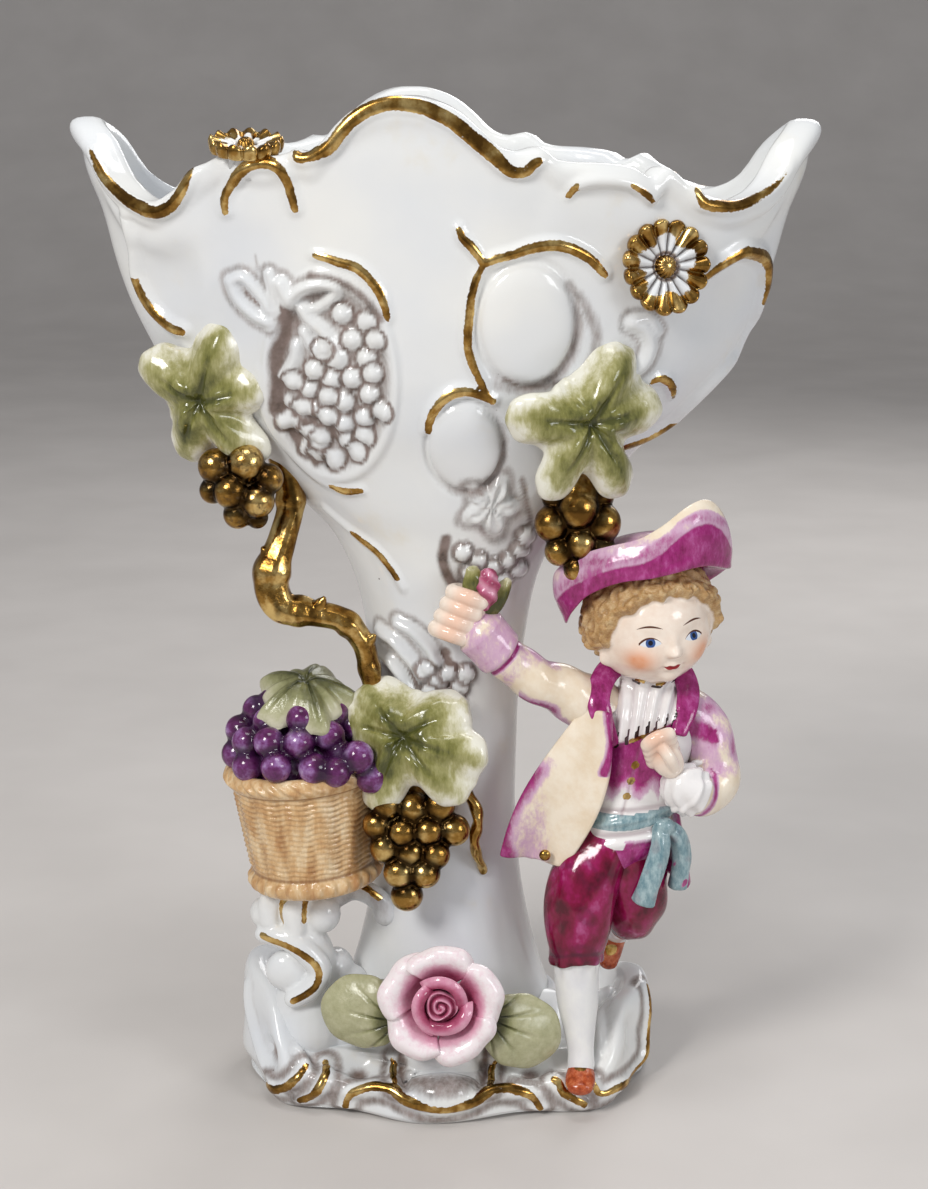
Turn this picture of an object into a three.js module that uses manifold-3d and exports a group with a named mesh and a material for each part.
// A figural porcelain vase: a fan-shaped bowl on a slender stem, a scrolled plinth, and applied ornaments.
// A boy in a tricorn hat stands on the right, a fruit basket on a scroll bracket stands on the left,
// and gilt grapes, vine leaves, daisies and a rose are fixed to the body, each cast or modelled by itself.
// Millimetres, +Z up, the front faces -Y, and the origin is under the middle of the plinth.
import * as THREE from "three";
import { mergeVertices } from "three/addons/utils/BufferGeometryUtils.js";
import Module from "manifold-3d";

const wasm = await Module();
wasm.setup();

// Driving sizes of the vase body.
const vaseHeight = 225.5;
const mouthWidth = 157;
const mouthDepth = 70;
const mouthPinch = 0.35;
const waistHeight = 70;
const stemWidth = 31.5;
const stemDepth = 28;
const footWidth = 48;
const footDepth = 40;
const skirtCurve = 2.2;
const depthCurve = 0.8;
const cornerWall = 0.6;
const wallThickness = 3.5;
const floorHeight = 37;
const rimFadeStart = 0.78;
const ringCrowding = 0.2;
const lipFlare = 1.4;
const lipDrop = 2.4;
const jointGap = 0.3;
const mostMitre = 0.4;

// Driving sizes of the relief that is cast on the front of the body.
const scrollRadius = 1.5;
const scrollTaper = 0.5;
const cushionRise = 1.8;
const medallionWidth = 24.6;
const medallionHeight = 40;
const medallionSink = 1.5;
const medallionBead = 2.1;
const medallionRoll = 1.1;
const ribbonRadius = 1.2;

// Driving sizes of the plinth.
const plinthWidth = 94;
const plinthDepth = 64;
const seatHeight = 20;
const edgeHeight = 7.5;
const earHeight = 27;
const valleyHeight = 13;
const seatMargin = 2.5;
const plinthLobes = 8;
const lobeDepth = 0.03;

// Driving sizes of the ornaments.
const grapeRadius = 3.5;
const leafThickness = 3;
const leafLength = 18.5;
const leafNotch = 10.5;
const branchRadius = 3;
const basketSeatHeight = 50.5;
const basketHeight = 29;
const basketRimRadius = 17.6;
const basketFootRadius = 14.6;
const basketWall = 3;
const basketHollow = 5;
const weaveRibs = 13;
const weaveDepth = 0.6;
const heapHeight = 16;
const roseRadius = 13.6;
const roseConeLength = 14;
const petalThickness = 1.5;
const roseLeafLength = 10.6;
const daisyRadius = 10;

// Driving sizes of the boy, whose parts all follow his height.
const boyHeight = 130;
const headRadius = 14;
const hairThickness = 3.4;
const hatRadius = 18.5;
const hatThickness = 2.4;
const hatLift = 10.5;
const sleeveRadius = 5.4;
const thighRadius = 7.2;
const calfRadius = 4.6;
const coatThickness = 2.6;

const porcelain = glaze("#eef0f2");
const gilt = new THREE.MeshStandardMaterial({ color: "#b98a3a", roughness: 0.2, metalness: 1 });
const vineGreen = glaze("#8a9a62");
const rosePink = glaze("#d98fae");
const wicker = glaze("#d3a673");
const grapePurple = glaze("#5a2a5c");
const coatCream = glaze("#ddd0bb");
const hatPurple = glaze("#a45c8f");
const crimson = glaze("#8c1046");
const skin = glaze("#e9cdb8");
const sashBlue = glaze("#8fa7ad");

function glaze(color) {
  return new THREE.MeshStandardMaterial({ color, roughness: 0.15, metalness: 0 });
}

function at(x, y, z) {
  return new THREE.Vector3(x, y, z);
}

function clamp(value) {
  return Math.min(1, Math.max(0, value));
}

function smooth(value) {
  const t = clamp(value);
  return t * t * (3 - 2 * t);
}

// A smooth function through [input, output] pairs. The slope at each pair is that of its neighbours' chord.
function curveThrough(pairs) {
  const slope = (i) => {
    const before = pairs[Math.max(0, i - 1)];
    const after = pairs[Math.min(pairs.length - 1, i + 1)];
    return (after[1] - before[1]) / (after[0] - before[0]);
  };
  return (input) => {
    let i = 0;
    while (i < pairs.length - 2 && input > pairs[i + 1][0]) i += 1;
    const [x0, y0] = pairs[i];
    const [x1, y1] = pairs[i + 1];
    const span = x1 - x0;
    const t = clamp((input - x0) / span);
    const rise = y1 - y0;
    const bend = t * (1 - t) * ((1 - t) * (slope(i) * span - rise) - t * (slope(i + 1) * span - rise));
    return y0 + t * rise + bend;
  };
}

// Solids, joins and cuts

function solidOf(geometry) {
  const bare = (geometry.index ? geometry.toNonIndexed() : geometry.clone()).deleteAttribute("normal");
  bare.deleteAttribute("uv");
  const merged = mergeVertices(bare, 1e-4);
  const triVerts = new Uint32Array(merged.index.array);
  const vertProperties = merged.attributes.position.array;
  return new wasm.Manifold(new wasm.Mesh({ numProp: 3, vertProperties, triVerts }));
}

function geometryOf(solid) {
  const mesh = solid.getMesh();
  const positions = new Float32Array(mesh.numVert * 3);
  for (let i = 0; i < mesh.numVert; i += 1) {
    positions.set(mesh.vertProperties.subarray(i * mesh.numProp, i * mesh.numProp + 3), i * 3);
  }
  const geometry = new THREE.BufferGeometry();
  geometry.setAttribute("position", new THREE.BufferAttribute(positions, 3));
  geometry.setIndex(new THREE.BufferAttribute(new Uint32Array(mesh.triVerts), 1));
  geometry.computeVertexNormals();
  return geometry;
}

function joined(...geometries) {
  return geometryOf(geometries.map(solidOf).reduce((whole, part) => whole.add(part)));
}

// The geometry with every point moved out along its normal, to cut a seat with a gap all round.
// A point on a sharp edge moves further, until the faces beside it have moved by the gap as well.
function grown(geometry, gap) {
  const whole = geometryOf(solidOf(geometry));
  const position = whole.attributes.position;
  const normal = whole.attributes.normal;
  const point = (i) => new THREE.Vector3().fromBufferAttribute(position, i);
  const out = (i) => new THREE.Vector3().fromBufferAttribute(normal, i);
  const bluntness = new Float32Array(position.count).fill(1);
  const corners = whole.index.array;
  for (let i = 0; i < corners.length; i += 3) {
    const [a, b, c] = corners.slice(i, i + 3);
    const facing = point(b).sub(point(a)).cross(point(c).sub(point(a))).normalize();
    for (const corner of [a, b, c]) bluntness[corner] = Math.min(bluntness[corner], facing.dot(out(corner)));
  }
  for (let i = 0; i < position.count; i += 1) {
    const moved = point(i).addScaledVector(out(i), gap / Math.max(mostMitre, bluntness[i]));
    position.setXYZ(i, moved.x, moved.y, moved.z);
  }
  return solidOf(whole);
}

// Takes out of a piece what its carriers fill, with the joint gap, and keeps its largest body.
// A carrier that is hollow or knobbly has an envelope, a plain solid round it, which makes the gap.
function seat(piece, ...carriers) {
  root.updateMatrixWorld(true);
  const toPiece = piece.matrixWorld.clone().invert();
  let shape = solidOf(piece.geometry);
  for (const carrier of carriers) {
    const cutter = grown(carrier.userData.envelope ?? carrier.geometry, jointGap);
    const move = toPiece.clone().multiply(carrier.matrixWorld).elements;
    shape = shape.subtract(cutter.transform(move)).subtract(solidOf(carrier.geometry).transform(move));
  }
  const largest = shape.decompose().reduce((best, body) => (body.volume() > best.volume() ? body : best));
  piece.geometry = geometryOf(largest);
  return piece;
}

// A closed skin over rings that have equal counts of points, with a fan at each end.
function loft(rings) {
  const count = rings[0].length;
  const centre = (ring) => ring.reduce((sum, p) => sum.add(p), at(0, 0, 0)).divideScalar(count);
  const points = [...rings.flat(), centre(rings[0]), centre(rings[rings.length - 1])];
  const first = rings.length * count;
  const faces = [];
  for (let i = 0; i < count; i += 1) {
    const next = (i + 1) % count;
    faces.push(first, next, i);
    for (let ring = 0; ring < rings.length - 1; ring += 1) {
      const low = ring * count;
      const high = low + count;
      faces.push(low + i, low + next, high + next, low + i, high + next, high + i);
    }
    const last = (rings.length - 1) * count;
    faces.push(first + 1, last + i, last + next);
  }
  return facingOut(new THREE.BufferGeometry().setFromPoints(points).setIndex(faces));
}

// Turns the faces round where a closed skin was laid inside out.
function facingOut(geometry) {
  const position = geometry.attributes.position;
  const index = geometry.index.array;
  const corner = (i) => new THREE.Vector3().fromBufferAttribute(position, index[i]);
  let volume = 0;
  for (let i = 0; i < index.length; i += 3) volume += corner(i).dot(corner(i + 1).cross(corner(i + 2)));
  if (volume < 0) {
    for (let i = 0; i < index.length; i += 3) [index[i + 1], index[i + 2]] = [index[i + 2], index[i + 1]];
  }
  return geometry;
}

function ringOf(count, pointAt) {
  return Array.from({ length: count }, (_, i) => pointAt((i / count) * 2 * Math.PI));
}

// A round limb along a smooth path, with a radius at each of its points and rounded ends.
function limb(points, radii, sides = 8, steps = 8) {
  const path = new THREE.CatmullRomCurve3(points);
  const frames = path.computeFrenetFrames(steps, false);
  const radiusAt = curveThrough(radii.map((radius, i) => [i / (radii.length - 1), radius]));
  const section = (step, share, push) => {
    const radius = radiusAt(step / steps);
    const middle = path.getPoint(step / steps).addScaledVector(frames.tangents[step], push * radius);
    return ringOf(sides, (angle) =>
      middle
        .clone()
        .addScaledVector(frames.normals[step], Math.cos(angle) * radius * share)
        .addScaledVector(frames.binormals[step], Math.sin(angle) * radius * share),
    );
  };
  const rings = [section(0, 0.6, -0.6)];
  for (let step = 0; step <= steps; step += 1) rings.push(section(step, 1, 0));
  rings.push(section(steps, 0.6, 0.6));
  return loft(rings);
}

// A round bead with few faces, whose poles point up and down.
function bead(radius, x, y, z, sides = 7, bands = 4) {
  return new THREE.SphereGeometry(radius, sides, bands).rotateX(Math.PI / 2).translate(x, y, z);
}

// A bent sheet of even thickness over a surface function of across (-1 to 1) and along (0 to 1).
function sheet(pointAt, thickness, columns, rows) {
  const nudge = 0.01;
  const edgeHalf = 0.35;
  const side = (across, along, offset) => {
    const middle = pointAt(across, along);
    const alongWay = pointAt(across, along + nudge).sub(pointAt(across, along - nudge));
    const acrossWay = pointAt(across + nudge, along).sub(pointAt(across - nudge, along));
    return middle.addScaledVector(acrossWay.cross(alongWay).normalize(), offset);
  };
  const rings = [];
  for (let row = 0; row <= rows; row += 1) {
    const along = row / rows;
    const rowHalf = row === 0 || row === rows ? edgeHalf : 0.5;
    const front = [];
    const back = [];
    for (let column = 0; column <= columns; column += 1) {
      const across = (2 * column) / columns - 1;
      const half = Math.abs(across) === 1 ? edgeHalf : rowHalf;
      front.push(side(across, along, half * thickness));
      back.unshift(side(across, along, -half * thickness));
    }
    rings.push([...front, ...back]);
  }
  return loft(rings);
}

// A lobed plate such as a leaf or a daisy, round its own +Z: domed, with a round pad of clay behind.
function lobedPlate({ reach, thickness, dome, sides, padRadius, padLength, shares = [0.4, 0.75] }) {
  const ring = (share, lift) =>
    ringOf(sides, (angle) => {
      const radius = reach(angle) * share;
      return at(radius * Math.cos(angle), radius * Math.sin(angle), lift + dome(share, angle));
    });
  const padRing = (radius, height) =>
    ringOf(sides, (angle) => at(radius * Math.cos(angle), radius * Math.sin(angle), height));
  return loft([
    ...shares.map((share) => ring(share, thickness / 2)),
    ring(0.97, thickness / 4),
    ring(1, -thickness / 4),
    ring(0.8, -thickness / 2),
    padRing(padRadius * 0.9, -thickness / 2 + dome(0.5, 0)),
    padRing(padRadius, -padLength),
  ]);
}

function add(group, name, geometry, material, position = at(0, 0, 0), turn = [0, 0, 0]) {
  const mesh = new THREE.Mesh(geometry, material);
  mesh.name = name;
  mesh.position.copy(position);
  mesh.rotation.set(...turn.map(THREE.MathUtils.degToRad));
  group.add(mesh);
  return mesh;
}

// The turn that brings +Z to that facing and +Y as near upwards as it can.
function turnTo(facing) {
  const across = at(0, 0, 1).cross(facing).normalize();
  const upwards = facing.clone().cross(across);
  return new THREE.Matrix4().makeBasis(across, upwards, facing);
}

function face(mesh, facing) {
  mesh.quaternion.setFromRotationMatrix(turnTo(facing));
  return mesh;
}

const root = new THREE.Group();
root.name = "figural_vase";

// The vase body

// How much of the widening from waist to mouth is done, by the share of the height above the waist.
const bowlFlare = curveThrough([
  [0, 0], [0.14, 0.011], [0.245, 0.041], [0.323, 0.083], [0.387, 0.164], [0.432, 0.27], [0.503, 0.43],
  [0.561, 0.6], [0.613, 0.72], [0.658, 0.783], [0.71, 0.842], [0.768, 0.884], [0.858, 0.93], [0.93, 0.985],
  [1, 1],
]);

// How far the rim lies under the top, by the share of the mouth's half width: arches, notches and dips.
const rimDrop = curveThrough([
  [-1, 5.5], [-0.955, 9], [-0.89, 17], [-0.78, 22], [-0.69, 18.5], [-0.62, 14], [-0.56, 12], [-0.46, 12.5],
  [-0.38, 11], [-0.33, 11], [-0.265, 5.3], [-0.18, 1], [-0.105, 0], [-0.04, 0.5], [0.03, 2.7], [0.083, 6],
  [0.127, 9.5], [0.18, 11], [0.247, 10.3], [0.293, 12.8], [0.42, 13.7], [0.484, 14.5], [0.535, 16.5],
  [0.573, 14.5], [0.637, 18.5], [0.74, 22], [0.83, 20.5], [0.89, 17], [0.94, 11], [1, 6],
]);

// A level of the bowl, by its share of the way from the waist up to the rim.
function upTheBowl(share) {
  return waistHeight + share * (vaseHeight - waistHeight);
}

function vaseSection(height, grow) {
  const flare = bowlFlare(clamp((height - waistHeight) / (vaseHeight - waistHeight)));
  const skirt = Math.pow(clamp((waistHeight - height) / (waistHeight - seatHeight)), skirtCurve);
  const width = stemWidth + (mouthWidth - stemWidth) * flare + (footWidth - stemWidth) * skirt;
  const swell = Math.pow(flare, depthCurve);
  const depth = stemDepth + (mouthDepth - stemDepth) * swell + (footDepth - stemDepth) * skirt;
  return {
    halfWidth: width / 2 + grow * (1 + cornerWall * flare),
    halfDepth: depth / 2 + grow,
    pinch: 1 + mouthPinch * flare,
  };
}

// How far a level of the body has sunk towards the rim's arches and dips, which fade out down the bowl.
function rimSink(height, share) {
  return smooth((height / vaseHeight - rimFadeStart) / (1 - rimFadeStart)) * rimDrop(share);
}

// A ring of the body, with its points drawn closer together at the front and the back.
function vaseRing(height, grow, lower = 0, sides = 52) {
  const { halfWidth, halfDepth, pinch } = vaseSection(height, grow);
  return ringOf(sides, (turn) => {
    const angle = turn + ringCrowding * Math.sin(2 * turn);
    const across = Math.cos(angle);
    const sine = Math.sin(angle);
    const y = halfDepth * Math.sign(sine) * Math.pow(Math.abs(sine), pinch);
    return at(halfWidth * across, y, height - lower - rimSink(height, across));
  });
}

// A spot on the front of the body, by its share of the half width there and its level, and where it faces.
function frontSpot(share, height, standOff) {
  const pointAt = (across, level) => {
    const { halfWidth, halfDepth, pinch } = vaseSection(level, 0);
    const y = -halfDepth * Math.pow(Math.max(0, 1 - across * across), pinch / 2);
    return at(halfWidth * across, y, level - rimSink(level, across));
  };
  const acrossWay = pointAt(share + 0.01, height).sub(pointAt(share - 0.01, height));
  const upWay = pointAt(share, height + 0.5).sub(pointAt(share, height - 0.5));
  const facing = acrossWay.cross(upWay).normalize();
  return { point: pointAt(share, height).addScaledVector(facing, standOff), facing };
}

// The relief's scrolls and ribbons, each a run of spots.
// A spot is a share of the body's half width there, and a share of the bowl's height.
const scrolls = [
  [[-0.381, 0.985], [-0.26, 0.98], [-0.184, 0.986], [-0.087, 0.985], [-0.01, 0.982], [0.059, 0.979],
    [0.143, 0.978], [0.181, 0.973], [0.241, 0.975]],
  [[-0.95, 0.98], [-0.908, 0.98], [-0.817, 0.985], [-0.773, 0.984], [-0.703, 0.982], [-0.66, 0.985]],
  [[-0.44, 0.978], [-0.407, 0.965], [-0.392, 0.912]],
  [[-0.885, 0.855], [-0.915, 0.769], [-0.906, 0.717], [-0.867, 0.689], [-0.825, 0.682]],
  [[-0.359, 0.824], [-0.295, 0.802], [-0.201, 0.757], [-0.169, 0.712]],
  [[-0.79, 0.42], [-0.699, 0.388], [-0.51, 0.343], [-0.449, 0.318]],
  [[0.66, 0.982], [0.675, 0.984], [0.775, 0.986], [0.883, 0.985], [0.925, 0.98]],
  [[0.32, 0.952], [0.377, 0.97], [0.482, 0.972], [0.542, 0.962]],
  [[0.109, 0.8], [0.192, 0.827], [0.28, 0.851], [0.35, 0.849], [0.411, 0.823], [0.455, 0.793]],
  [[0.109, 0.8], [0.077, 0.74], [0.071, 0.696], [0.092, 0.647], [0.159, 0.6]],
  [[-0.067, 0.556], [-0.038, 0.585], [0.022, 0.609], [0.085, 0.613], [0.169, 0.6]],
  [[0.84, 0.875], [0.948, 0.787], [0.975, 0.74], [0.98, 0.673], [0.97, 0.627], [0.95, 0.588], [0.92, 0.545]],
  [[0.707, 0.617], [0.768, 0.615], [0.837, 0.591]],
];
const ribbons = [
  [[-0.6, 0.737], [-0.552, 0.691], [-0.515, 0.671]],
  [[-0.548, 0.721], [-0.476, 0.758], [-0.482, 0.792]],
  [[-0.455, 0.74], [-0.32, 0.747]],
];
const medallionSpot = [-0.384, 0.625];
const medallionBeads = [
  [-0.309, 0.717], [-0.306, 0.655], [-0.39, 0.624], [-0.263, 0.624], [-0.494, 0.602], [-0.579, 0.555],
  [-0.357, 0.592], [-0.314, 0.564], [-0.46, 0.55], [-0.416, 0.52],
];
// The two raised ovals and the low leaf: the spot, then half width, half height and rise in millimetres.
const cushions = [
  [0.248, 0.702, 9.8, 12.5, cushionRise],
  [0.087, 0.533, 7.6, 9.6, cushionRise],
  [0.277, 0.446, 6.2, 5.6, cushionRise * 0.7],
];

// A ridge laid along a run of spots, thickest in its middle.
function ridge(spots, radius) {
  const path = spots.map(([share, up]) => frontSpot(share, upTheBowl(up), 0).point);
  const radii = [scrollTaper, 1, 1, scrollTaper].map((share) => share * radius);
  return limb(path, radii, 5, Math.max(4, spots.length));
}

// Brings a shape made round the origin to a spot on the front of the body, its own +Z facing outwards.
function setOn([share, up], standOff, geometry) {
  const { point, facing } = frontSpot(share, upTheBowl(up), standOff);
  return geometry.applyMatrix4(turnTo(facing).setPosition(point));
}

// The body with its relief: scrolls, ribbons, raised ovals and a sunk medallion with a roll and beads.
function carved(plain) {
  const dome = (halfWidth, halfHeight, rise, sides = 10, bands = 6) =>
    new THREE.SphereGeometry(1, sides, bands).scale(halfWidth, halfHeight, rise);
  const dish = dome(medallionWidth / 2, medallionHeight / 2, medallionSink * 2.5, 14, 8);
  setOn(medallionSpot, medallionSink * 1.5, dish);
  const [share, up] = medallionSpot;
  const centreX = share * vaseSection(upTheBowl(up), 0).halfWidth;
  const roll = ringOf(12, (angle) => {
    const level = upTheBowl(up) + (medallionHeight / 2) * Math.sin(angle);
    const x = centreX + (medallionWidth / 2) * Math.cos(angle);
    return [x / vaseSection(level, 0).halfWidth, (level - waistHeight) / (vaseHeight - waistHeight)];
  });
  const raised = [
    ...scrolls.map((spots) => ridge(spots, scrollRadius)),
    ...ribbons.map((spots) => ridge(spots, ribbonRadius)),
    ridge([...roll.slice(4), ...roll.slice(0, 3)], medallionRoll),
    ...cushions.map(([across, level, ...sizes]) => setOn([across, level], 0, dome(...sizes))),
    ...medallionBeads.map((spot) => setOn(spot, -0.4, bead(medallionBead, 0, 0, 0, 6, 4))),
  ];
  return joined(geometryOf(solidOf(plain).subtract(solidOf(dish))), ...raised);
}

function makeVaseBody() {
  const foot = seatHeight + jointGap;
  const outside = [0, 0.08, 0.2, 0.38, 0.47, 0.535, 0.6, 0.66, 0.73, 0.82, 0.92]
    .map((share) => vaseRing(foot + (vaseHeight - foot) * share, 0));
  const inside = [0.9, 0.78, 0.68, 0.6, 0.51, 0.36, 0.14]
    .map((share) => vaseRing(floorHeight + (vaseHeight - floorHeight) * share, -wallThickness));
  const lip = [
    vaseRing(vaseHeight, lipFlare, lipDrop),
    vaseRing(vaseHeight, lipFlare - wallThickness / 3),
    vaseRing(vaseHeight, -wallThickness, lipDrop / 3),
  ];
  const base = vaseRing(floorHeight, -wallThickness * 1.6);
  const shell = carved(loft([...outside, ...lip, ...inside, base]));
  const body = add(root, "vase_body", shell, porcelain);
  body.userData.envelope = loft([...outside, lip[0], lip[1]]);
  return body;
}

// The plinth

function plinthOutline(angle, share, height) {
  const corner = (value) => Math.sign(value) * Math.pow(Math.abs(value), 0.82);
  const lobe = 1 + lobeDepth * Math.cos(plinthLobes * (angle + Math.PI / 2));
  const x = (plinthWidth / 2) * corner(Math.cos(angle)) * lobe * share;
  const y = (plinthDepth / 2) * corner(Math.sin(angle)) * lobe * share;
  return at(x, y, height);
}

// The edge is low in front and behind, and rises to an ear at each side.
function plinthEdge(angle) {
  return edgeHeight + (earHeight - edgeHeight) * Math.pow(Math.abs(Math.cos(angle)), 5);
}

function makePlinth() {
  const sides = 48;
  const band = (share, lift) =>
    ringOf(sides, (angle) => plinthOutline(angle, share, lift * plinthEdge(angle)));
  const valley = ringOf(sides, (angle) => {
    const height = edgeHeight + (valleyHeight - edgeHeight) * Math.abs(Math.cos(angle));
    return plinthOutline(angle, 0.74, height);
  });
  const seatRing = (inset, height) =>
    ringOf(sides, (angle) => {
      const halfWidth = footWidth / 2 + seatMargin - inset;
      const halfDepth = footDepth / 2 + seatMargin - inset;
      return at(halfWidth * Math.cos(angle), halfDepth * Math.sin(angle), height);
    });
  const outer = loft([
    band(0.96, 0), band(1, 0.25), band(0.99, 0.75), band(0.94, 1), band(0.84, 0.94), valley,
    seatRing(0, seatHeight - 2), seatRing(1, seatHeight),
  ]);
  const hollow = (share, height) => ringOf(sides, (angle) => plinthOutline(angle, share, height));
  const underside = loft([
    hollow(0.8, -1), hollow(0.8, edgeHeight * 0.16), hollow(0.6, edgeHeight * 0.6),
    hollow(0.3, seatHeight * 0.6),
  ]);
  const plinth = add(root, "plinth", geometryOf(solidOf(outer).subtract(solidOf(underside))), porcelain);
  plinth.userData.envelope = outer;
  return plinth;
}

// The basket of grapes on its scroll bracket, beside the stem

const basketSide = stemWidth / 2 + 13.75;
const basketForward = stemDepth / 2 - 3;

function makeBasket(vaseBody) {
  const group = new THREE.Group();
  group.position.set(-basketSide, -basketForward, basketSeatHeight);
  group.rotation.y = THREE.MathUtils.degToRad(-5);
  root.add(group);
  const foot = basketFootRadius;
  const rim = basketRimRadius;
  const woven = [4.8, basketHeight - 5];
  const ribs = Array.from({ length: 2 * weaveRibs + 1 }, (_, i) => {
    const share = i / (2 * weaveRibs);
    const radius = foot - 0.8 + share * (rim - 0.6 - foot) + (i % 2) * weaveDepth;
    return [radius, woven[0] + share * (woven[1] - woven[0])];
  });
  const profile = [
    [0, 0], [foot - 2, 0], [foot, 1.2], [foot + 0.6, 3], ...ribs,
    [rim, basketHeight - 3.5], [rim + 0.4, basketHeight - 1.4], [rim - 0.8, basketHeight],
    [rim - basketWall, basketHeight], [rim - basketWall - 1, basketHeight - basketHollow],
    [0, basketHeight - basketHollow],
  ].map(([radius, height]) => new THREE.Vector2(radius, height));
  const turned = new THREE.LatheGeometry(profile, 24).rotateX(Math.PI / 2);
  const basket = seat(add(group, "basket", turned, wicker), vaseBody);

  const heap = add(group, "basket_grapes", heapGeometry(), grapePurple, at(0, 0, basketHeight));
  heap.userData.envelope = heapDome(grapeRadius * 0.8);
  seat(heap, basket, vaseBody);

  const leafShape = lobedPlate({
    reach: (angle) => 10.5 + 2 * Math.cos(5 * angle),
    thickness: 3.4,
    dome: (share) => 3 - 5.5 * share * share,
    sides: 20,
    padRadius: 5,
    padLength: 7,
  });
  const leafPlace = at(2.5, -4, basketHeight + heapHeight);
  const leaf = add(group, "basket_leaf", leafShape, vineGreen, leafPlace, [22, 6, 0]);
  return { basket, heap, leaf: seat(leaf, heap, vaseBody) };
}

// A dome whose foot fits the basket's mouth, swollen by so much between its foot and its top.
function heapDome(swell) {
  const mouth = basketRimRadius - basketWall - 1 - jointGap;
  const profile = [
    [0, jointGap - basketHollow], [mouth, jointGap - basketHollow], [mouth + 0.8 + swell, 0.5],
    [basketRimRadius * 0.86 + swell, heapHeight * 0.45], [basketRimRadius * 0.55 + swell, heapHeight * 0.86],
    [0, heapHeight],
  ].map(([radius, height]) => new THREE.Vector2(radius, height));
  return new THREE.LatheGeometry(profile, 14).rotateX(Math.PI / 2);
}

// The dome, two rows of grapes round it, and a cluster that hangs over the rim.
function heapGeometry() {
  const grapes = [heapDome(0)];
  const rows = [
    { count: 9, reach: basketRimRadius * 0.87, height: grapeRadius + 1.2, start: 0 },
    { count: 5, reach: basketRimRadius * 0.62, height: heapHeight * 0.66, start: 0.5 },
  ];
  for (const { count, reach, height, start } of rows) {
    for (let i = 0; i < count; i += 1) {
      const angle = ((i + start) / count) * 2 * Math.PI;
      grapes.push(bead(grapeRadius, reach * Math.cos(angle), reach * Math.sin(angle), height, 6));
    }
  }
  const overhang = [[-20, 2.6], [-34, -2.4]];
  for (const [degrees, height] of overhang) {
    const angle = THREE.MathUtils.degToRad(degrees);
    const reach = basketRimRadius + grapeRadius * 0.45;
    grapes.push(bead(grapeRadius * 1.15, reach * Math.cos(angle), reach * Math.sin(angle), height));
  }
  return joined(...grapes);
}

function makeBracket(carriers) {
  const group = new THREE.Group();
  group.position.set(-basketSide, -basketForward, 0);
  root.add(group);
  const spot = (x, y, share) => at(x, y, share * basketSeatHeight);
  const column = limb(
    [spot(-6.5, -1, 0.24), spot(-4.5, -2, 0.48), spot(-1.5, -2, 0.67), spot(-2, -1, 0.85),
      spot(-1.5, 0, 0.99)],
    [6.5, 5.6, 4.8, 5, 6], 8, 5,
  );
  const arch = limb(
    [spot(2.5, 0, 0.89), spot(8.5, 0, 0.95), spot(14, 1, 0.89), spot(16.5, 2, 0.75)],
    [3, 2.6, 2.4, 3], 6, 6,
  );
  const hook = limb(
    [spot(-12.5, -3, 0.75), spot(-5.5, -5, 0.735), spot(-0.1, -6, 0.6), spot(-2.5, -7, 0.485),
      spot(-7.5, -7, 0.485)],
    [2.2, 3, 3, 2.5, 2], 6, 7,
  );
  const leftCurl = limb(
    [spot(-4.5, -2, 0.89), spot(-10.5, -3, 0.92), spot(-12.5, -3, 0.83), spot(-9.5, -3, 0.77)],
    [3, 3, 2.8, 2.2], 6, 6,
  );
  const eyes = [bead(4.8, -7, -5, 0.6 * basketSeatHeight), bead(4.4, 2, -4, 0.84 * basketSeatHeight)];
  const shape = joined(column, arch, hook, leftCurl, ...eyes);
  return seat(add(group, "scroll_bracket", shape, porcelain), ...carriers);
}

// The gilt branch that makes the handle, from under the bowl down to the stem.
// Each row is a share of the way down, then how far it swings sideways and forwards, and its thickness.
function makeBranch(carriers) {
  const top = upTheBowl(0.527);
  const bottom = upTheBowl(0.116);
  const start = at(10 - vaseSection(top, 0).halfWidth, -4, top);
  const end = at(1.8 - vaseSection(bottom, 0).halfWidth, 1 - vaseSection(bottom, 0).halfDepth, bottom);
  const rows = [
    [0, 0, 0, 1.15], [0.147, -0.9, -2.5, 1.08], [0.242, -2.3, -3.5, 1], [0.35, -6.5, -4.3, 1.05],
    [0.484, -12.1, -4.9, 1.3], [0.575, -12.1, -5, 1.2], [0.598, -6.3, -4.7, 0.98], [0.622, 0.2, -5, 0.92],
    [0.697, 2.9, -4.2, 0.85], [0.784, 2.4, -3.3, 0.78], [0.89, 1.2, -2.2, 0.72], [1, 0, 0, 0.7],
  ];
  const path = rows.map(([share, sideways, forwards]) =>
    start.clone().lerp(end, share).add(at(sideways, forwards, 0)),
  );
  const radii = rows.map(([, , , thickness]) => thickness * branchRadius);
  return seat(add(root, "branch_handle", limb(path, radii, 8, 22), gilt), ...carriers);
}

// Vine leaves and grape bunches, each laid on the front of the body

// A leaf's outline: lobes of a given direction and length share, over the round of its notches.
function leafReach(lobes) {
  return (angle) => {
    let reach = leafNotch;
    for (const [direction, length] of lobes) {
      const turn = angle - THREE.MathUtils.degToRad(direction);
      const away = Math.abs(Math.atan2(Math.sin(turn), Math.cos(turn)));
      const lobe = (length * leafLength - leafNotch) * Math.exp(-((away / 0.36) ** 2));
      reach = Math.max(reach, leafNotch + lobe);
    }
    return reach;
  };
}

function addLeaf(name, spot, standOff, lean, lobes, carriers) {
  const blade = lobedPlate({
    reach: leafReach(lobes),
    thickness: leafThickness,
    dome: (share, angle) => 2.2 - 3.4 * share * share + 0.7 * share * Math.cos(5 * angle),
    sides: 30,
    padRadius: leafNotch * 0.65,
    padLength: standOff + 4,
  });
  const leaf = add(root, name, blade, vineGreen, spot.point);
  face(leaf, spot.facing.clone().add(lean).normalize());
  return seat(leaf, ...carriers);
}

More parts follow.
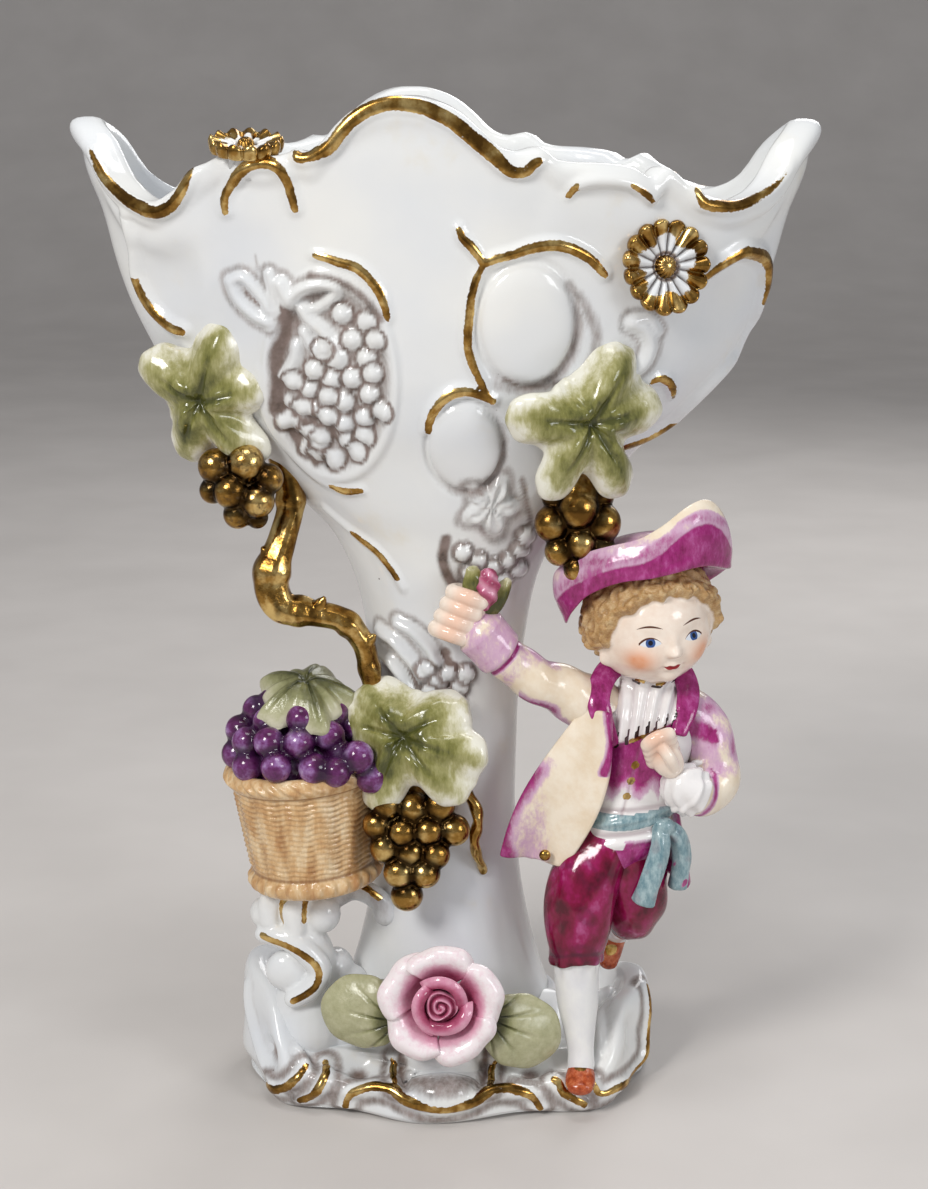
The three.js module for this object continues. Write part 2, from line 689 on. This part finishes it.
// Grapes in rows that narrow to a point, over a core that they all grow from and that starts at its stalk.
function addBunch(name, position, rows, turn, stalk, carriers) {
  const rowStep = 1.42 * grapeRadius;
  const grapes = [];
  rows.forEach((count, row) => {
    const bulge = 0.7 + 0.5 * Math.sin((Math.PI * (row + 0.4)) / rows.length);
    for (let i = 0; i < count; i += 1) {
      const across = (i - (count - 1) / 2) * 1.62 + (row % 2 ? 0.12 : -0.12);
      const out = Math.sqrt(Math.max(0, 1 - (across / 3.6) ** 2)) * bulge;
      grapes.push(bead(grapeRadius, across * grapeRadius, -out * grapeRadius, -rowStep * row));
    }
  });
  const length = rowStep * (rows.length - 1);
  const width = Math.max(...rows) * 0.4 * grapeRadius;
  const path = [stalk, at(0, 0, -length * 0.4), at(0, 0, -length)];
  const core = limb(path, [width * 0.7, width * 0.9, grapeRadius * 0.6], 8, 3);
  const bunch = add(root, name, joined(core, ...grapes), gilt, position, turn);
  const swollen = [width + grapeRadius, width + grapeRadius, grapeRadius * 1.6];
  const round = limb([at(0, 0, grapeRadius * 0.5), ...path.slice(1)], swollen, 8, 3);
  bunch.userData.envelope = round.scale(1.35, 1, 1);
  return seat(bunch, ...carriers);
}

// Daisies pressed in a mould and laid on the body

function addDaisy(name, spot, standOff, facing, carriers) {
  const petals = 14;
  const flower = lobedPlate({
    reach: (angle) => daisyRadius * (0.93 + 0.07 * Math.cos(petals * angle)),
    thickness: 2.6,
    dome: (share) => 1.6 * share * share,
    sides: petals * 2,
    padRadius: daisyRadius * 0.65,
    padLength: standOff + 4,
    shares: [0.3, 0.7],
  });
  const daisy = add(root, name, joined(flower, bead(2.4, 0, 0, 1.4)), gilt, spot.point);
  face(daisy, facing.normalize());
  return seat(daisy, ...carriers);
}

// The rose, built petal by petal round a coiled heart, on a cone of clay

function rosePetal(length, width, opening, tip) {
  return (across, along) => {
    const half = width * Math.sin(Math.PI * (0.16 + 0.62 * along));
    const wrap = (across * half) / length;
    const reach = length * (0.12 + 0.88 * along) * opening + length * 0.12;
    const lift = tip * Math.sin(along * Math.PI * 0.62) - 0.16 * length * across * across * along;
    return at(reach * Math.cos(wrap * 0.95), reach * Math.sin(wrap * 0.95) + across * half * 0.25, lift);
  };
}

function makeRose(plinth, vaseBody) {
  const rose = new THREE.Group();
  rose.position.set(-1.2, -(footDepth / 2 + seatMargin + 4.6), seatHeight + 7.6);
  rose.rotation.x = THREE.MathUtils.degToRad(78);
  root.add(rose);
  const cone = new THREE.CylinderGeometry(roseRadius * 0.36, roseRadius * 0.62, roseConeLength, 12)
    .rotateX(Math.PI / 2)
    .translate(0, 0, 0.5 - roseConeLength / 2);
  const made = [seat(add(rose, "rose_cone", cone, porcelain), plinth, vaseBody)];
  const heartRings = [[0.2, 0], [0.3, 0.2], [0.3, 0.42], [0.2, 0.54], [0.08, 0.5]].map(([share, rise]) =>
    ringOf(12, (angle) =>
      at(roseRadius * share * Math.cos(angle), roseRadius * share * Math.sin(angle), roseRadius * rise),
    ),
  );
  made.push(seat(add(rose, "rose_heart", loft(heartRings), rosePink), made[0]));
  const rows = [
    { label: "inner", count: 3, length: 0.56, width: 0.46, opening: 0.9, tip: 0.53, start: 30 },
    { label: "outer", count: 5, length: 1, width: 0.7, opening: 0.92, tip: 0.34, start: 18 },
  ];
  for (const { label, count, length, width, opening, tip, start } of rows) {
    const surface = rosePetal(length * roseRadius, width * roseRadius, opening, tip * roseRadius);
    for (let i = 0; i < count; i += 1) {
      const turn = [0, 0, start + (i * 360) / count];
      const shape = sheet(surface, petalThickness, 4, 4);
      const petal = add(rose, `rose_${label}_petal_${i + 1}`, shape, rosePink, at(0, 0, 0.4), turn);
      made.push(seat(petal, ...made, plinth, vaseBody));
    }
  }
  return made;
}

function addRoseLeaf(name, position, turn, carriers) {
  const blade = lobedPlate({
    reach: (angle) => roseLeafLength * (0.83 + 0.17 * Math.cos(angle) + 0.05 * Math.cos(2 * angle)),
    thickness: 2.2,
    dome: (share) => 1.2 - 2 * share * share,
    sides: 16,
    padRadius: 5,
    padLength: 13,
  });
  return seat(add(root, name, blade, vineGreen, position, turn), ...carriers);
}

// The boy, in his own group, whose origin is the spot on the plinth between his feet.
// His places are written for a height of 130 and all follow boyHeight.

const boyScale = boyHeight / 130;

function his(x, y, z) {
  return at(x, y, z).multiplyScalar(boyScale);
}

function hisLimb(rows, radius, sides, steps) {
  const points = rows.map(([x, y, z]) => his(x, y, z));
  return limb(points, rows.map(([, , , share]) => share * radius), sides, steps);
}

function trunkGeometry() {
  const rings = [
    [2, 1, 50, 6, 5], [2.5, 1, 55, 10.5, 8], [4.5, 1.5, 62, 9.8, 7.8], [6, 2, 70, 10.2, 7.8],
    [7.5, 2.5, 78, 11.8, 8.2], [8.4, 3.5, 85, 11.6, 7.6], [8.6, 4, 89.5, 7.4, 6], [8.6, 4, 94, 4.6, 4.6],
  ];
  return loft(rings.map(([x, y, z, halfWidth, halfDepth]) =>
    ringOf(16, (angle) => his(x + halfWidth * Math.cos(angle), y + halfDepth * Math.sin(angle), z)),
  ));
}

// The coat's open front on his right, which swings out towards the stem.
function coatFront(across, along) {
  const top = at(-3 + across * 2.6, -3.6 - across * 2.2, 84);
  const bottom = at(-15.5 + across * 8.4, 1.5 - Math.abs(across) * 2 - across * 3, 51 + across * 3.4);
  const belly = Math.sin(Math.PI * along) * 2.6;
  const swing = at(across * belly + 3 * along * (1 - along), -belly, 0);
  return top.lerp(bottom, along).add(swing).multiplyScalar(boyScale);
}

// The coat's tails, which hang round his back from hip to hip.
function coatTails(across, along) {
  const angle = Math.PI * (0.5 - across * 0.58);
  const reach = 0.8 + 3.2 * along;
  const x = 3.5 + (9.9 + reach) * Math.cos(angle);
  const y = 1.5 + (7.7 + reach) * Math.sin(angle);
  return his(x, y, 67 - 20 * along - 2 * across * along);
}

// The head with its wig: lumps of hair all round the skull, outside the oval of the face.
function headGeometry() {
  const shape = new THREE.IcosahedronGeometry(1, 4);
  const position = shape.attributes.position;
  for (let i = 0; i < position.count; i += 1) {
    const way = new THREE.Vector3().fromBufferAttribute(position, i).normalize();
    const side = Math.atan2(way.x, -way.y);
    const rise = Math.asin(way.z);
    const oval = (side / 0.92) ** 2 + ((rise + 0.15) / 0.72) ** 2;
    const hair = smooth((oval - 1) / 0.6) * smooth((rise + 1.0) / 0.4);
    const lumps = 0.6 + 0.4 * Math.cos(7 * side) * Math.cos(7 * rise);
    const nose = Math.exp(-((side / 0.16) ** 2 + ((rise + 0.12) / 0.16) ** 2));
    const radius = headRadius * 0.96 + hairThickness * hair * lumps + 1.7 * nose;
    position.setXYZ(i, way.x * radius * 0.98, way.y * radius * 0.95, way.z * radius);
  }
  const neck = limb([at(-0.6, 1.6, -headRadius - 3), at(-0.4, 1, -headRadius + 4)], [4.4, 4.6], 8, 2);
  return joined(shape, neck);
}

// A tricorn hat round the head's centre: a low crown inside a brim that is turned up all round and drawn
// out into three corners, with a hollow underneath that fits over the hair.
function hatGeometry() {
  const sides = 21;
  const firstCorner = THREE.MathUtils.degToRad(-52);
  const corner = (angle) => Math.pow(0.5 + 0.5 * Math.cos(3 * (angle - firstCorner)), 2);
  const front = (angle) => 0.5 + 0.5 * Math.cos(angle - firstCorner);
  const ring = (share, rise, height) =>
    ringOf(sides, (angle) => {
      const radius = hatRadius * share * (1 + 0.16 * corner(angle) * rise);
      const lift = hatLift + height + rise * (3.4 + 3.2 * corner(angle) * front(angle));
      return at(radius * Math.cos(angle), radius * 0.9 * Math.sin(angle), lift);
    });
  const overHair = headRadius + hairThickness + jointGap;
  const under = (share) =>
    ringOf(sides, (angle) => {
      const radius = overHair * Math.sin(share);
      return at(radius * Math.cos(angle), radius * Math.sin(angle), overHair * Math.cos(share));
    });
  return loft([
    ring(0.2, 0, 9.4), ring(0.46, 0, 8.4), ring(0.62, 0, 5.6), ring(0.74, 0.3, hatThickness + 1),
    ring(0.9, 1, hatThickness + 0.6), ring(0.95, 1.15, hatThickness + 0.4),
    ring(1.01, 1.1, hatThickness * 0.4),
    ring(0.95, 0.3, -0.6), under(0.98), under(0.5),
  ]);
}

function makeBoy({ vaseBody, plinth, branch }) {
  const boy = new THREE.Group();
  boy.position.set(stemWidth / 2 + 20.25, -(stemDepth / 2 + 4), edgeHeight - 1.5);
  root.add(boy);

  const trunk = seat(add(boy, "boy_trunk", trunkGeometry(), coatCream), vaseBody);

  const frontLeg = joined(
    hisLimb([[-1.5, 0, 53, 0.98], [-5.4, -2.2, 45, 1], [-6.6, -3.6, 36, 0.92], [-6.6, -4, 30.5, 0.82],
      [-6.4, -4, 27, 0.66], [-6.2, -4, 20, 0.67], [-5.6, -5, 10, 0.46], [-5.4, -6, 3.6, 0.45]],
      thighRadius, 8, 13),
    hisLimb([[-5.2, -4, 2.4, 0.74], [-5.8, -10, 2, 0.78], [-6, -13, 1.8, 0.57]], calfRadius, 7, 4),
  );
  const front = seat(add(boy, "boy_front_leg", frontLeg, crimson), trunk, plinth, vaseBody);

  const rearLeg = joined(
    hisLimb([[5.5, 2, 53, 1], [6.4, 1.6, 46, 0.95], [6.2, 2.4, 40, 0.88], [5.8, 5, 36.6, 0.7],
      [4.8, 10, 32.6, 0.64], [3.2, 16.5, 27.4, 0.46]], thighRadius, 8, 9),
    hisLimb([[3.6, 17.5, 28, 0.7], [2.2, 18.5, 23.6, 0.72], [1.8, 17.5, 19.2, 0.54]], calfRadius, 7, 4),
  );
  const rear = seat(add(boy, "boy_rear_leg", rearLeg, crimson), trunk, front, plinth, vaseBody);

  const raisedArm = joined(
    hisLimb([[0.5, 4, 83, 1], [-5.5, 3, 87.5, 1.18], [-13, 0, 92, 0.98], [-20, -2, 96.5, 0.94],
      [-27.4, -3, 104.6, 0.86]], sleeveRadius, 8, 8),
    hisLimb([[-28.5, -3.2, 106, 0.56], [-31.4, -2.8, 109.4, 0.74], [-32.8, -1.8, 112.4, 0.63]],
      sleeveRadius, 7, 3),
  );
  const armUp = seat(add(boy, "boy_raised_arm", raisedArm, coatCream), trunk, vaseBody, branch);

  const bentArm = joined(
    hisLimb([[17, 4, 85, 1], [21.5, 3.5, 81.5, 1.06], [23.5, 1.5, 74, 1], [22.4, -2, 68.4, 1.04],
      [18, -5.8, 70, 1], [14.6, -8, 73, 1.02]], sleeveRadius, 8, 11),
    hisLimb([[15, -8, 72.5, 0.6], [11.6, -9.4, 76.4, 0.72], [9.6, -9.6, 80.4, 0.56]], sleeveRadius, 7, 3),
  );
  const armBent = seat(add(boy, "boy_bent_arm", bentArm, coatCream), trunk, vaseBody);

  const head = add(boy, "boy_head", headGeometry(), skin, his(9, 1.5, 106), [0, 0, 18]);
  seat(head, trunk, armUp, armBent);
  const hat = add(boy, "boy_hat", hatGeometry(), hatPurple, head.position, [-18, -13, 0]);
  seat(hat, head, vaseBody, armUp);

  const coat = add(boy, "boy_coat_front", sheet(coatFront, coatThickness, 4, 5), coatCream);
  seat(coat, trunk, armUp, front, vaseBody);
  const tails = add(boy, "boy_coat_tails", sheet(coatTails, coatThickness, 10, 3), coatCream);
  seat(tails, trunk, coat, front, rear, armBent, vaseBody);

  const sashShape = joined(
    hisLimb([[11, -4, 60, 0.73], [12.8, -6.4, 56, 0.93], [11.8, -7.2, 48, 1], [10.4, -7, 42, 0.6]], 3, 6, 5),
    hisLimb([[11, -4, 60, 0.73], [16.4, -3, 57, 0.87], [17.4, -2.6, 50, 0.87], [17, -2.4, 46, 0.6]], 3, 6, 5),
  );
  seat(add(boy, "boy_sash_ends", sashShape, sashBlue), trunk, rear, front, tails, armBent);
  return { boy, armUp, head, hat };
}

// The posy in his raised hand: a bud between two leaves.
function makePosy(boy, armUp, vaseBody) {
  const made = [];
  const sprig = (name, rows, material) => {
    const piece = add(boy, name, hisLimb(rows, 1, 6, 4), material);
    made.push(seat(piece, armUp, vaseBody, ...made));
  };
  const upper = [[-29.8, -4.2, 108, 1.6], [-29.8, -4.8, 114, 2.6], [-30.4, -5, 118.6, 1.4]];
  const middle = [[-28.2, -4, 110, 1.2], [-27, -4.6, 115.4, 2.8], [-26.8, -4.8, 118, 1.8]];
  const lower = [[-27.4, -3, 108, 1.6], [-25, -2.6, 111.6, 2.3], [-22.8, -2, 115.4, 1.3]];
  sprig("posy_leaf_upper", upper, vineGreen);
  sprig("posy_bud", middle, rosePink);
  sprig("posy_leaf_lower", lower, vineGreen);
}

// The assembly, each piece after those that carry it

const plinth = makePlinth();
const vaseBody = makeVaseBody();
const { basket, heap, leaf: basketLeaf } = makeBasket(vaseBody);
makeBracket([plinth, vaseBody, basket]);
const branch = makeBranch([vaseBody, basket, heap, basketLeaf]);

const rightLeaf = addLeaf("vine_leaf_right", frontSpot(0.495, upTheBowl(0.579), 4.4), 4.4, at(0.1, 0, 0.35),
  [[57, 1], [10, 0.97], [-58, 1.03], [-119, 0.97], [173, 0.95]], [vaseBody]);
const bunchRight = addBunch("grape_bunch_right", frontSpot(0.7, upTheBowl(0.4695), 5.4).point,
  [3, 3, 2, 1], [8, 0, 0], at(0, 2, 3), [vaseBody, rightLeaf]);

const leftLeafSpot = frontSpot(-0.84, upTheBowl(0.598), 3);
const leftLeaf = addLeaf("vine_leaf_left", leftLeafSpot, 3, at(0, -0.8, 0.2),
  [[68, 0.95], [150, 0.9], [-114, 0.85], [-51, 1], [16, 0.78]], [vaseBody, branch]);
addBunch("grape_bunch_left", leftLeafSpot.point.clone().add(at(6.5, -2, -14)), [3, 3, 2], [10, -20, 0],
  at(5.5, 6.5, 5), [vaseBody, branch, leftLeaf]);

const centreLeaf = addLeaf("vine_leaf_centre", frontSpot(-0.37, waistHeight + 17.5, 7.6), 7.6, at(0, 0, 0.3),
  [[139, 0.9], [178, 0.98], [-118, 0.98], [-51, 0.96], [-14, 0.98], [38, 0.85]],
  [vaseBody, branch, basket, heap, basketLeaf]);
const bunchCentre = addBunch("grape_bunch_centre", frontSpot(-0.32, waistHeight + 1.5, 6.2).point,
  [3, 4, 3, 2, 1], [-3, 4, 0], at(0, 2.5, 2), [vaseBody, basket, heap, centreLeaf]);

const tendrilPath = [[0.1, 7, 0.5], [0.34, -1, 5], [0.32, -9, 4.4], [0.5, -17, 0.4]]
  .map(([share, rise, standOff]) => frontSpot(share, waistHeight + rise, standOff).point);
const tendril = limb(tendrilPath, [1.4, 1.3, 1.2, 0.9], 6, 8);
seat(add(root, "gilt_tendril", tendril, gilt), vaseBody, bunchCentre, centreLeaf);

addDaisy("daisy_right", frontSpot(0.63, upTheBowl(0.807), 1.6), 1.6, at(0.35, -1, 0.15), [vaseBody]);
const rimSpot = frontSpot(-0.52, vaseHeight, 0.6);
rimSpot.point.add(at(0, 2.6, 0.6));
addDaisy("daisy_left", rimSpot, 0.6, at(0, -0.45, 1), [vaseBody]);

const rosePieces = makeRose(plinth, vaseBody);
const roseLeafDepth = -(footDepth / 2 + seatMargin + 4.5);
addRoseLeaf("rose_leaf_left", at(-17.5, roseLeafDepth, seatHeight + 4.5), [80, -14, 170],
  [plinth, vaseBody, ...rosePieces]);
addRoseLeaf("rose_leaf_right", at(15.5, roseLeafDepth - 0.5, seatHeight + 1), [78, 14, -24],
  [plinth, vaseBody, ...rosePieces]);

const { boy, armUp, head, hat } = makeBoy({ vaseBody, plinth, branch });
makePosy(boy, armUp, vaseBody);
seat(bunchRight, hat, head);

export default root;
